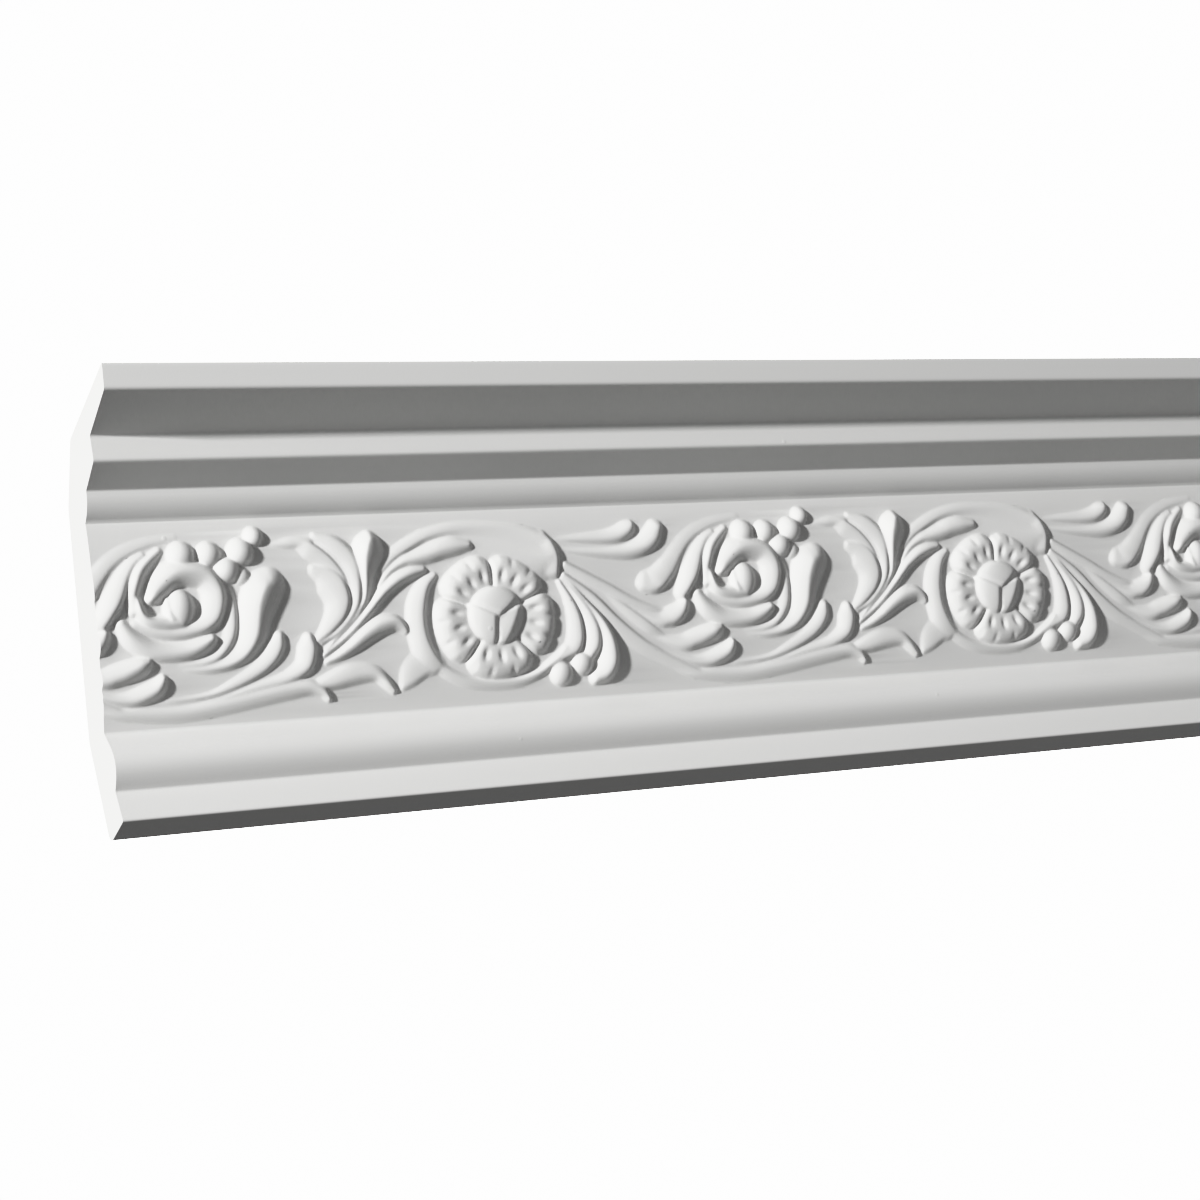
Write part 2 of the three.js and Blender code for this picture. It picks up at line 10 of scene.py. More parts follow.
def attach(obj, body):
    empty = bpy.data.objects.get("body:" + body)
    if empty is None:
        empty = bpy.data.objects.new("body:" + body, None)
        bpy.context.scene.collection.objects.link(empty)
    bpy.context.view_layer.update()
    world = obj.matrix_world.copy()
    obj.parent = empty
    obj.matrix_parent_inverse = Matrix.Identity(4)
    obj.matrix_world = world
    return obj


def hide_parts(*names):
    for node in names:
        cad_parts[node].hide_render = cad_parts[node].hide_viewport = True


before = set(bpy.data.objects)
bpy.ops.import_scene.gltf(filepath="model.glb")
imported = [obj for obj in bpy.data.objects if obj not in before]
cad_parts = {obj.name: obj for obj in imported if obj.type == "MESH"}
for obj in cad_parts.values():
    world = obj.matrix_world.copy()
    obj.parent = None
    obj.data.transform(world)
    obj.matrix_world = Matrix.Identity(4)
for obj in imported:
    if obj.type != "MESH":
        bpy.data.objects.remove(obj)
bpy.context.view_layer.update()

# Sizes of the casting, in metres
LENGTH = 0.9
DROP = 0.175
PROJECTION = 0.125
REPEATS = 3
REPEAT = LENGTH / REPEATS
TOP_FILLET = (0.0045, 0.0114)  # run back and fall, as for the four members below it
UPPER_SOFFIT = (0.0308, 0.0042)
FASCIA = (0.0024, 0.0119)
LOWER_SOFFIT = (0.018, 0.0044)
OVOLO = (0.0105, 0.0108)
OVOLO_BULGE = 0.002
OVOLO_STEPS = 7
BEAD_FALL = 0.0282
BEAD_LEAN = 0.06  # run of the bead as a share of its fall
BEAD_BULGE = 0.0073
BEAD_SAG = 1.3  # over 1 the bead is fullest below its middle
BEAD_STEPS = 16
FOOT_FILLET_FALL = 0.0156
FOOT_FILLET_RUN = -0.002  # the fillet leans outwards
FOOT_SET_BACK = 0.1032
FOOT_ROUNDING = 0.0052
FOOT_STEPS = 7
WALL_STRIP = 0.051
CEILING_STRIP = 0.062
BACK_CHAMFER = 0.023
FRIEZE_BULGE = 0.003
FRIEZE_FLATNESS = 3.5
ORIGIN_HEIGHT = (WALL_STRIP + FOOT_ROUNDING) / 2 - DROP

# The carving is drawn in millimetres, on a repeat and a frieze of these sizes
DRAWN_REPEAT = 240.0
DRAWN_FRIEZE = 76.3

GRID = 0.45  # spacing of the relief grid, in the drawing
SOFTENING = 0.4  # how far the mould rounds every edge of the relief, in the drawing
ARRIS = 0.0011  # rounding of the mouldings' edges
KEPT_SHARE = 0.3  # share of the fine triangles that stay on the frieze
LEAF_POINTS = 40  # points that a leaf's ridge is worked out at
STATIONS = 61  # places along the length where the plain mouldings have points
SMOOTH_UP_TO = 40  # degrees between faces that are still shaded as one


# Drawing of the carving

def smooth_curve(points, count):
    """Catmull-Rom curve through the points: each stretch is the cubic that leaves and arrives along the
    chord of its neighbours."""
    given = np.asarray(points, float)
    ends = np.vstack([2 * given[0] - given[1], given, 2 * given[-1] - given[-2]])
    place = np.linspace(0, len(given) - 1 - 1e-9, count)
    low = place.astype(int)
    t = (place - low)[:, None]
    a, b, c, d = ends[low], ends[low + 1], ends[low + 2], ends[low + 3]
    return 0.5 * (2 * b + (c - a) * t + (2 * a - 5 * b + 4 * c - d) * t**2 + (3 * b - a - 3 * c + d) * t**3)


def spread(values, count):
    """The values laid evenly along the leaf, with a smooth curve between them; one value holds all along."""
    if len(values) == 1:
        return np.full(count, float(values[0]))
    given = np.asarray(values, float)
    places = np.linspace(0, 1, len(given))
    return np.clip(smooth_curve(np.stack([places, given], 1), count)[:, 1], 0.05, None)


class Relief:
    """Heights of one repeat of the frieze on an even grid, joined to itself end to end."""

    def __init__(self):
        self.columns = int(round(DRAWN_REPEAT / GRID))
        self.rows = int(round(DRAWN_FRIEZE / GRID)) + 1
        self.height = np.zeros((self.rows, self.columns))

    def window(self, low, high):
        """Grid places between two corners of the drawing, and their coordinates."""
        columns = np.arange(math.floor(low[0] / GRID), math.ceil(high[0] / GRID) + 1)
        first = max(0, math.floor(low[1] / GRID))
        last = min(self.rows - 1, math.ceil(high[1] / GRID))
        rows = np.arange(first, last + 1)
        u, v = np.meshgrid(columns * GRID, rows * GRID)
        return columns, rows, u, v

    def put(self, columns, rows, form, blend=0.35):
        """Joins a form to what is there: the higher one wins, with a fillet of the blend's size between."""
        place = np.ix_(rows, columns % self.columns)
        there = self.height[place]
        share = np.clip(0.5 + 0.5 * (form - there) / blend, 0, 1)
        joined = there * (1 - share) + form * share + blend * share * (1 - share)
        bare = there <= 0.02
        self.height[place] = np.where(form <= 0, there, np.where(bare, np.maximum(form, there), joined))

    def leaf(self, path, left, right, high, tip=None, crease=1.8, power=0.82):
        """A leaf whose ridge runs along a curve, with a width on either side of it. Across the leaf the
        height is high * (1 - r^crease)^power, r being the share of that side's width. Past an end of the
        curve it runs on by the geometric mean of the two widths there, or past its tip by the length given."""
        curve = smooth_curve(path, LEAF_POINTS)
        sides = np.stack([spread(left, LEAF_POINTS), spread(right, LEAF_POINTS)])
        peak = spread(high, LEAF_POINTS)
        margin = sides.max() + GRID
        columns, rows, u, v = self.window(curve.min(0) - margin, curve.max(0) + margin)
        start = curve[:-1, :, None, None]
        step = np.diff(curve, axis=0)
        length = np.linalg.norm(step, axis=1) + 1e-9
        along = (step / length[:, None])[:, :, None, None]
        x = u[None] - start[:, 0]
        y = v[None] - start[:, 1]
        t = np.clip((x * along[:, 0] + y * along[:, 1]) / length[:, None, None], 0, 1)
        gap_x = x - t * step[:, 0, None, None]
        gap_y = y - t * step[:, 1, None, None]
        widths = sides[:, :-1, None, None] + np.diff(sides)[:, :, None, None] * t
        top = peak[:-1, None, None] + np.diff(peak)[:, None, None] * t
        across = along[:, 0] * gap_y - along[:, 1] * gap_x
        past = np.sqrt(np.clip(gap_x**2 + gap_y**2 - across**2, 0, None))
        reach = np.sqrt(widths[0] * widths[1])
        if tip is not None:
            reach[-1] = tip
        distance = np.hypot(across / np.where(across > 0, widths[0], widths[1]), past / reach)
        form = top * np.clip(1 - distance**crease, 0, 1) ** power
        self.put(columns, rows, form.max(0))

    def berry(self, at, radius, high, stretch=1.0):
        """A dome: the height falls as (1 - r^2)^0.6 from the middle to the rim."""
        reach = np.array([radius, radius * stretch])
        columns, rows, u, v = self.window(at - reach, at + reach)
        distance = ((u - at[0]) / reach[0]) ** 2 + ((v - at[1]) / reach[1]) ** 2
        self.put(columns, rows, high * np.clip(1 - distance, 0, 1) ** 0.6)

    def press(self, at, reach, deep):
        """A hollow: lowers what is there by deep * exp(-r^2), r being the share of each reach."""
        span = 2 * np.array(reach)
        columns, rows, u, v = self.window(at - span, at + span)
        place = np.ix_(rows, columns % self.columns)
        hollow = deep * np.exp(-(((u - at[0]) / reach[0]) ** 2) - ((v - at[1]) / reach[1]) ** 2)
        self.height[place] = np.maximum(self.height[place] - hollow, 0)

    def soften(self, reach):
        """Gaussian softening, which runs on over the joint of two repeats."""
        count = int(3 * reach / GRID) + 1
        places = np.arange(-count, count + 1)
        weights = np.exp(-((places * GRID / reach) ** 2) / 2)
        weights /= weights.sum()
        self.height = sum(w * np.roll(self.height, p, 1) for w, p in zip(weights, places))
        padded = np.pad(self.height, ((count, count), (0, 0)), "edge")
        self.height = sum(w * padded[i : i + self.rows] for i, w in enumerate(weights))


# Leaves, drawn as [along, up the frieze] on their ridges, root first; widths are left and right of the ridge
STEMS = [
    dict(
        path=[(190.2, 53.3), (199.2, 48.4), (209.3, 42.9), (215.3, 39.4), (222, 36), (229, 33.2),
              (236, 31.5)],
        left=[1.4, 1.5, 1.5, 1.4, 1.3, 1.2, 0.8],
        right=[2.5, 3, 3, 3, 3, 3, 1.5],
        high=[1.5, 1.4, 1.3, 1.2, 1, 0.8, 0.1],
    ),
    dict(
        path=[(207, 41), (213, 36.6), (219, 32.2), (226, 26.8), (232, 22.6)],
        left=[0.6, 0.9, 1, 1, 0.8],
        right=[0.6, 2.5, 3.5, 3.5, 1.5],
        high=[0.06, 0.6, 1, 1, 0.1],
    ),
    dict(
        path=[(189.3, 48.9), (201.3, 39.9), (211.3, 29.6), (221.4, 20.9), (228.4, 16.4), (234.5, 12.9),
              (246.5, 6.9)],
        left=[1.3],
        right=[2, 3.5, 6, 5, 4, 3.5, 2.5],
        high=[1.2, 1.3, 1.2, 1, 0.9, 0.8, 0.8],
    ),
]
HOOD = [
    dict(
        path=[(225.5, 43), (229, 42), (232.6, 43.3), (236.6, 47.3), (239.8, 51.3), (243.1, 55.9),
              (247.3, 60.4), (253.5, 64.4), (261.7, 67.5), (272, 69.5)],
        left=[6.5, 8, 8, 7, 6, 5, 4.5, 4, 3, 2],
        right=[3, 2.6, 2.4, 2.6, 2.2, 1.8, 1.5, 1.2, 1, 1],
        high=[1.5, 1.9, 2.3, 1.8, 1.2, 0.9, 0.7, 0.55, 0.45, 0.25],
    ),
    dict(
        path=[(2.1, 38.3), (4.7, 41.8), (7.6, 45.8), (9.8, 49.8), (12.1, 54.9), (15.3, 59.9), (19.6, 63.4)],
        left=[4, 5, 5.8, 5.5, 4.5, 3.2, 2],
        right=[2, 2.6, 2.6, 2.2, 1.6, 1.2, 0.8],
        high=[2, 2.8, 3, 2.5, 1.9, 1.4, 0.9],
    ),
    dict(
        path=[(14.2, 43.4), (14.2, 48.5), (15.2, 53), (17.2, 57.5), (20.3, 61), (25.5, 65)],
        left=[2.5, 2.8, 2.8, 2.5, 2, 1.5],
        right=[2.8, 2.2, 3, 3.2, 2.8, 1.6],
        high=[2.2, 2.2, 2.9, 2.7, 2.1, 1],
    ),
]
FINGERS = [
    dict(
        path=[(216, 35), (229, 28.4), (234.6, 28.3), (238.4, 29.9), (240.8, 32.6), (242.2, 35.6)],
        left=[0.8, 4, 5.6, 5.4, 3.6, 1.4],
        right=[0.6, 1.9, 2.6, 3.2, 3.3, 2.7],
        high=[0.06, 1.4, 2, 2.6, 2.8, 2.2],
    ),
    dict(
        path=[(-12, 22), (0, 18.2), (6.4, 19.4), (11, 21.2), (14.6, 23), (17.4, 24.3)],
        left=[0.8, 4.5, 5.2, 4.6, 3.2, 1.2],
        right=[0.6, 2.3, 3.1, 3.7, 4, 3],
        high=[0.06, 1.8, 2.4, 2.9, 3.1, 2.4],
    ),
    dict(
        path=[(-10, 16.8), (2, 12), (8.4, 10.6), (13.6, 11), (19.2, 13.4), (21.4, 15.8), (22.5, 18)],
        left=[0.6, 2, 3.5, 4.4, 4.2, 2.8, 1.2],
        right=[0.6, 1, 1.6, 2.3, 3, 3.1, 2.4],
        high=[0.06, 1, 1.5, 2.1, 2.6, 2.7, 2.1],
    ),
    dict(
        path=[(9, 38.5), (13, 32.5), (19, 28.3), (26, 26.8), (33, 27.2), (38.5, 29.3), (42, 31.5)],
        left=[2.5, 4, 4.5, 4.6, 4.4, 3.4, 1.8],
        right=[2.5, 4, 3.5, 3, 3.2, 3.6, 3.2],
        high=[1.8, 2, 2, 2.2, 2.5, 2.9, 2.8],
    ),
]
SCROLL = [
    dict(
        path=[(20.5, 47), (24, 51.5), (29.5, 55.8), (36, 57), (42.5, 55.5), (46, 51), (46.8, 46),
              (45.3, 40.3), (42, 36.8), (37, 34.8), (30, 34), (22, 35.3), (14, 38)],
        left=[2, 4.5, 5.5, 4.5, 3.5, 3, 3, 2.8, 2.6, 2.6, 2.6, 2.5, 2],
        right=[3, 4.5, 5, 5.8, 6.2, 6.6, 6.8, 6.4, 5.2, 4.2, 3.4, 3, 2.5],
        high=[2.6, 3, 3.8, 3.8, 3.6, 3.4, 3.2, 2.8, 2.5, 2.2, 2, 1.6, 1],
    ),
    dict(
        path=[(50.5, 51), (51.8, 45), (51.8, 38), (50.5, 32), (47.5, 27.3), (43.5, 24), (37, 22.3),
              (30, 22.5)],
        left=[0.8, 1.2, 1.3, 1.3, 1.2, 1.1, 1, 0.8],
        right=[1.5, 2.8, 3.6, 3.6, 3, 2.4, 1.8, 1],
        high=[0.7, 1, 1.2, 1.2, 1.1, 1, 0.7, 0.2],
    ),
    dict(
        path=[(31.7, 20.9), (39.5, 20.4), (47.4, 21.3), (53.2, 23.8), (57, 27.7), (59.4, 32.7), (60.4, 39),
              (61.4, 44), (63.4, 48.6), (66, 51)],
        left=[1, 2, 3, 4, 5, 6, 6.4, 7, 7, 6],
        right=[1, 1.6, 2, 2.6, 3.4, 4.8, 6.4, 8, 8.6, 7.6],
        high=[0.2, 1, 1.6, 2, 2.6, 3.3, 4, 4.6, 4.8, 4],
        crease=1.35,
    ),
    dict(
        path=[(15.2, 47.5), (16, 43), (19.4, 39.6), (25, 37.8), (31, 38)],
        left=[1.6, 3, 3.6, 4.2, 4.6],
        right=[1.6, 2.2, 3, 3, 3],
        high=[2.4, 3.6, 3.3, 2.8, 2.6],
    ),
    dict(
        path=[(26.6, 46.5), (26.6, 42.5), (28, 39)],
        left=[2, 3, 3],
        right=[1, 1.6, 2.6],
        high=[1.6, 2.6, 2.8],
    ),
]
LOW_LEAVES = [
    dict(
        path=[(24, 9.5), (39.7, 10.7), (49.6, 13.4), (59.5, 17.9), (65.3, 22.3), (68.2, 26.8), (68.8, 30.8)],
        left=[1, 1.5, 3, 4, 4.8, 4.8, 3],
        right=[0.8, 1, 1.3, 1.7, 2, 2.2, 2],
        high=[0.15, 0.8, 1, 1.3, 1.7, 2, 1.8],
    ),
    dict(
        path=[(36, 7.5), (48, 9.8), (58, 12), (67, 13.6), (73.3, 15.6), (78.2, 18.5), (80.2, 22), (81, 26),
              (80.4, 29.5)],
        left=[1, 1.6, 2.4, 3.2, 4, 5, 5.5, 5.5, 3],
        right=[0.8, 1, 1.2, 1.6, 2.2, 2.5, 2.5, 2.4, 2],
        high=[0.15, 0.8, 1, 1.3, 1.7, 2.1, 2.3, 2.3, 1.8],
    ),
    dict(
        path=[(-4, 8.2), (6, 6.2), (20, 5), (31, 5), (45, 6.8), (60, 9.3), (71, 11), (79, 11.5), (84, 9.5),
              (86.5, 6.5)],
        left=[0.6, 2, 2.6, 2.8, 3, 3.2, 3.4, 3, 2, 1],
        right=[0.6, 2.2, 3, 3.2, 3.6, 3.8, 3.8, 3.2, 2.2, 1.2],
        high=[0.06, 1, 1.2, 1.2, 1.3, 1.5, 1.7, 2, 2.2, 1.8],
    ),
]
FAN = [
    dict(
        path=[(84, 28.5), (89, 32), (94, 37), (96.3, 42), (96.3, 46.5), (94.5, 51.5), (90.5, 55), (85, 56.5)],
        left=[2, 4.5, 7, 8.5, 9.5, 10, 8, 4],
        right=[1, 1.5, 2, 2.2, 2, 1.6, 1.4, 1],
        high=[1, 1.6, 2.1, 2.4, 2.3, 1.9, 1.4, 0.8],
    ),
    dict(
        path=[(97.5, 47), (96.5, 52), (93.5, 57), (89.5, 61.5), (85, 65), (81.5, 66.8)],
        left=[2, 3, 4.5, 5.5, 6, 4.5],
        right=[0.8, 1, 1, 1, 1, 1],
        high=[1.2, 1.4, 1.6, 1.7, 1.6, 1],
    ),
    dict(
        path=[(85, 27.5), (91, 30.5), (97, 35.8), (100.5, 41), (101.8, 46.5), (101.8, 52), (101, 57.5),
              (98.5, 62.3), (94, 66), (87, 68.3)],
        left=[1, 1.6, 2.4, 3.2, 4.2, 5.5, 6.8, 7.5, 6.5, 2.5],
        right=[0.8, 1, 1.2, 1.4, 1.5, 1.7, 2.2, 2.6, 2.4, 1.6],
        high=[0.8, 1.3, 1.7, 2, 2.2, 2.3, 2.3, 2.2, 1.9, 1],
    ),
    dict(
        path=[(86.7, 24.9), (94.5, 31.9), (99.4, 36.3), (102.2, 40.3), (104, 43.8), (104.6, 48.8),
              (104.6, 53.7), (104.9, 58.6), (105.8, 62.6), (107.4, 65.6)],
        left=[1, 1.2, 1.5, 1.8, 2, 2.1, 2.6, 3.6, 4.2, 3],
        right=[1, 1.2, 1.5, 1.8, 2.2, 3.2, 5.2, 7.6, 8.8, 6.8],
        high=[0.8, 1.2, 1.5, 1.8, 2.1, 2.7, 3.6, 4.6, 5.2, 4.5],
        crease=1.35,
    ),
    dict(
        path=[(85.6, 22.9), (91.5, 26.9), (97.3, 31.3), (103.1, 36.8), (107, 40.8), (110.9, 44.8),
              (114.9, 47.8), (118.9, 50.3), (124, 52.3), (129.2, 53.6)],
        left=[1, 1.2, 1.4, 1.6, 1.8, 2.2, 2.8, 3.2, 3, 1.5],
        right=[1, 1.5, 2, 2.3, 2.5, 2.6, 2.6, 2.6, 2.4, 1.8],
        high=[0.8, 1.2, 1.6, 2, 2.3, 2.4, 2.4, 2.4, 2.2, 1.6],
    ),
    dict(
        path=[(110.6, 47.9), (115.5, 53.4), (121.4, 56.7), (126.4, 57.9), (132.2, 59.3), (137.1, 60.8),
              (143, 61.8), (149.1, 62.3)],
        left=[1, 1.8, 2.6, 3.2, 4, 4.5, 4.5, 2.5],
        right=[1, 1.5, 2.2, 3, 3.6, 3.8, 3.6, 2.4],
        high=[0.8, 1.2, 1.6, 1.9, 2.2, 2.4, 2.4, 2],
    ),
    dict(
        path=[(112.6, 54), (117.5, 58.5), (124.5, 62.4), (132.5, 66.3), (142, 68.8), (152, 69.5),
              (164, 68.8), (174, 66.8), (182, 64)],
        left=[2, 3.5, 4, 3.5, 3, 2.6, 2.6, 3, 3],
        right=[1, 1.2, 1.2, 1.6, 2.4, 4, 7, 9, 8],
        high=[0.8, 1, 1.1, 1, 0.9, 0.8, 0.9, 1.3, 1.9],
        tip=2,
    ),
    dict(
        path=[(86.6, 20.4), (91.4, 22.4), (97.2, 25.8), (102, 29.3), (106.9, 32.2), (110.9, 33.6),
              (115, 34.3), (118.1, 32.8), (119.8, 30.3)],
        left=[1, 1.8, 2.6, 3.2, 3.6, 3.6, 2.6, 1.8, 1.2],
        right=[1.2, 2.2, 3.2, 4, 4.4, 4.4, 4, 3, 1.6],
        high=[0.8, 1.5, 2.2, 2.6, 2.8, 2.7, 2.5, 2.2, 1.6],
    ),
    dict(
        path=[(82.8, 11.3), (89.3, 12.3), (95.3, 13.8), (100.3, 14.6), (104.3, 14.8), (107.2, 13.8),
              (110.2, 10.8), (112.8, 7.9)],
        left=[3, 5, 5.5, 4.8, 3.8, 2.8, 2.2, 1.2],
        right=[1.8, 2.6, 3.2, 3.2, 3, 2.6, 2.2, 1.4],
        high=[1.6, 1.8, 1.8, 1.7, 1.7, 1.8, 2, 1.6],
    ),
]
SHEATH = [
    dict(
        path=[(146, 63), (158, 61.5), (168, 59.5), (177, 57.5), (184, 56.3)],
        left=[5, 8, 10, 9, 7],
        right=[6, 10, 13, 12, 6.5],
        high=[0.1, 0.6, 1.2, 1.9, 2.6],
        tip=2.6,
        crease=1.4,
    ),
    dict(
        path=[(182.5, 65), (185, 61), (186.3, 56), (186, 50.5)],
        left=[1.6, 2.2, 2.4, 1.6],
        right=[6, 10, 10, 7],
        high=[1.7, 2.5, 2.7, 2],
        crease=1.3,
    ),
    dict(
        path=[(187, 63.4), (200, 63), (209, 62.8), (216, 63.6), (220.5, 66), (222, 68)],
        left=[0.8, 2.5, 3.5, 4.4, 4, 2],
        right=[0.6, 1.6, 2.2, 2.8, 3, 2],
        high=[0.08, 0.9, 1.4, 2, 2.3, 2],
    ),
    dict(
        path=[(187, 59.6), (200, 57.8), (210, 57), (219, 57), (226, 58.5), (231, 61.5), (233.8, 66)],
        left=[0.6, 1.5, 2, 3, 4.4, 5.5, 4.5],
        right=[0.6, 1.6, 2.4, 3.2, 3.6, 3.6, 3],
        high=[0.08, 0.8, 1.2, 1.7, 2.2, 2.6, 2.4],
    ),
    dict(
        path=[(70, 65.8), (77, 66), (84, 66)],
        left=[1, 2.6, 2.6],
        right=[1, 2, 2],
        high=[0.2, 0.9, 0.9],
    ),
]
CALYX = [
    dict(
        path=[(134, 51), (130, 47), (127.5, 41), (126.3, 34), (127, 27), (129.5, 21), (132.5, 17)],
        left=[1, 1.8, 2.2, 2.4, 2.2, 1.8, 1],
        right=[1.5, 4, 6, 6.3, 6.5, 7.5, 7],
        high=[1, 1.8, 2.2, 2.3, 2.3, 2, 1.4],
    ),
    dict(
        path=[(131, 16), (126, 14.3), (121, 11.5), (117, 9)],
        left=[2.5, 2.5, 2.5, 1.5],
        right=[8, 9, 7, 2],
        high=[1, 1.1, 1.1, 0.8],
    ),
    dict(
        path=[(131, 18), (136, 14), (143, 10.5), (150, 8.7), (158, 8.2), (166, 8.6), (173, 10.5),
              (179, 13.5), (184, 17), (187, 20)],
        left=[1.5],
        right=[3, 3.5, 3.5, 3, 3, 2.8, 2.5, 2, 1.8, 1.5],
        high=[1, 1.1, 1.1, 1.1, 1.1, 1.2, 1.4, 1.6, 1.6, 1.4],
    ),
]
RIGHT_LEAVES = [
    dict(
        path=[(187, 46.5), (190.8, 40), (193.2, 34), (194, 28), (193.5, 22.5), (191, 18.5), (185.5, 16.3),
              (178, 12.8)],
        left=[0.8, 1, 1.2, 1.4, 1.6, 1.8, 1.8, 1.5],
        right=[1.2, 3, 4.5, 5.5, 6, 5.5, 3.5, 2],
        high=[1, 1.4, 1.7, 1.9, 2, 2, 1.8, 1.4],
    ),
    dict(
        path=[(188.5, 47.5), (193.5, 41), (197.5, 35), (199.8, 30), (200.8, 25), (200, 20), (197.5, 16.5)],
        left=[0.7, 1.2, 1.6, 2, 2.4, 2.6, 2.2],
        right=[1, 2, 3.2, 4.2, 5, 5, 3.5],
        high=[0.5, 1.5, 2.1, 2.4, 2.6, 2.6, 2.2],
    ),
    dict(
        path=[(190.5, 46.8), (197, 38.5), (202.5, 31.3), (205.6, 25), (206.9, 19), (206.6, 13), (204, 8.8),
              (199.5, 7)],
        left=[0.7, 1.2, 1.8, 2.6, 3.2, 3.4, 3.2, 2.4],
        right=[0.8, 1.6, 2.8, 4, 5.2, 6, 5.5, 3.5],
        high=[1, 1.8, 2.6, 3.2, 3.6, 3.7, 3.3, 2.5],
    ),
]
SCROLL_BERRIES = [
    dict(at=(31.6, 43.4), radius=5.4, high=3.7, stretch=1.33),
    dict(at=(33.8, 62.9), radius=5.3, high=3.6),
    dict(at=(44.4, 62.9), radius=4.8, high=3.4),
    dict(at=(56.8, 63.4), radius=5.2, high=3.9),
    dict(at=(50.6, 56.8), radius=5, high=3.8),
    dict(at=(56.2, 54.2), radius=3.4, high=2),
    dict(at=(62.6, 69), radius=3.8, high=3),
]
RING_BERRIES = [
    dict(at=(184.3, 10), radius=4.9, high=3.2),
    dict(at=(193.7, 13.3), radius=4.6, high=3),
]
SCROLL_HOLLOW = ((21.2, 42.8), (3, 2.2), 3.2)  # middle, reach and depth

ROSETTE_CENTRE = (157.6, 34)
ROSETTE_STRETCH = (1.02, 0.97)
PETAL_GAPS = (24, 91, 157, 232, 311)  # degrees
PETAL_RADIUS = 25.5
PETAL_HEIGHT = 3.3
PETAL_ROOT = 10.0
PETAL_CROWN = 0.6
# Creases of a petal: place as a share of half its width, radius of the middle, half length, half width, depth
INNER_CREASES = [(0, 16.4, 2.3, 1.1, 1.0), (0.57, 16.6, 2.3, 1.1, 1.0)]
OUTER_CREASES = [(0.3, 23, 2.2, 1.0, 0.6), (0.8, 23.2, 2, 1.0, 0.5)]
BUD_RADIUS = 12.0
BUD_HEIGHT = 5.6
BUD_FOOT = 1.6
THIN_FURROW = 152  # direction in degrees, as for the two furrows below
THIN_FURROW_DEPTH = 1.0
THIN_FURROW_HALF = 1.1  # half its width
DOWN_FURROW = -93
SIDE_FURROW = 21
FURROW_DEPTH = 1.5
DOWN_WALL = 2.4  # width of the wall beside the downward furrow
SIDE_WALL_SPLAY = 0.4  # width of the wall beside the side furrow, as a share of the way out
LOBE_TURN = 10  # degrees from the halfway direction to the third lobe's own
LOBE_RIDGE = 6.4  # distance of the third lobe's ridge from the middle
LOBE_FALL = 0.28  # how steeply the third lobe falls beyond its ridge


def spoke(x, y, degrees):
    """Distance out along a spoke from the rosette's middle, and distance to the spoke's left."""
    angle = math.radians(degrees)
    return x * math.cos(angle) + y * math.sin(angle), y * math.cos(angle) - x * math.sin(angle)


def petals(x, y):
    """Five rolled petals. The roll rises from its root to a crown and falls to the rim by powers of the
    distance from the crown; bell-shaped creases split it into fingers, the outer ones between the inner
    ones. Towards its two sides a petal draws in and falls away by high powers of the share of half its
    width."""
    radius = np.hypot(x, y)
    turn = np.degrees(np.arctan2(y, x)) % 360
    petal = np.zeros_like(radius)
    for i, start in enumerate(PETAL_GAPS):
        width = (PETAL_GAPS[(i + 1) % len(PETAL_GAPS)] - start) % 360
        from_start = (turn - start) % 360
        side = np.abs(from_start / width * 2 - 1)
        rim = PETAL_RADIUS * np.sqrt(np.clip(1 - 0.3 * side**7, 0, 1))
        share = np.clip((radius - PETAL_ROOT) / (rim - PETAL_ROOT), 0, 1)
        outside = np.clip((share - PETAL_CROWN) / (1 - PETAL_CROWN), 0, 1)
        inside = np.clip((PETAL_CROWN - share) / PETAL_CROWN, 0, 1)
        form = PETAL_HEIGHT * (1 - outside**2.4) ** 0.7 * (1 - 0.42 * inside**1.4)
        form *= np.clip(1 - side**10, 0, 1) ** 0.6
        for place, middle, long, wide, deep in INNER_CREASES + OUTER_CREASES:
            across = (side - place) * radius * math.radians(width / 2) / wide
            form -= deep * np.exp(-(across**2) - ((radius - middle) / long) ** 2)
        here = (from_start < width) & (radius < rim) & (radius > PETAL_ROOT / 2)
        petal = np.where(here, np.maximum(form, 0.5), petal)
    return petal


def bud(x, y):
    """A dome split by three furrows. Two lobes fall away to the furrows; the third starts low at the middle,
    rises to a ridge straight across it and falls beyond."""
    dome = np.clip(1 - (x**2 + y**2) / BUD_RADIUS**2, 0, 1)
    height = BUD_FOOT + (BUD_HEIGHT - BUD_FOOT) * dome**0.4
    out, off = spoke(x, y, THIN_FURROW)
    height -= THIN_FURROW_DEPTH * np.clip(1 - np.abs(off) / THIN_FURROW_HALF, 0, 1) * (out > 0)
    down, beside_down = spoke(x, y, DOWN_FURROW)
    side, beside_side = spoke(x, y, SIDE_FURROW)
    lobe = (beside_down > 0) & (beside_side < 0)
    wall = np.clip(1 + beside_down / DOWN_WALL, 0, 1) * (beside_down <= 0) * np.clip(down, 0, 1)
    side_wall = SIDE_WALL_SPLAY * np.clip(side, 0.5, None)
    wall += np.clip(1 - beside_side / side_wall, 0, 1) * (beside_side >= 0) * np.clip(side, 0, 1)
    reach = spoke(x, y, (DOWN_FURROW + SIDE_FURROW) / 2 + LOBE_TURN)[0]
    low = FURROW_DEPTH * np.clip(1 - reach / LOBE_RIDGE, 0, 1)
    low += LOBE_FALL * np.clip(reach - LOBE_RIDGE, 0, None)
    height -= np.where(lobe, low, FURROW_DEPTH * np.clip(wall, 0, 1))
    return np.where(dome > 0, height, 0)


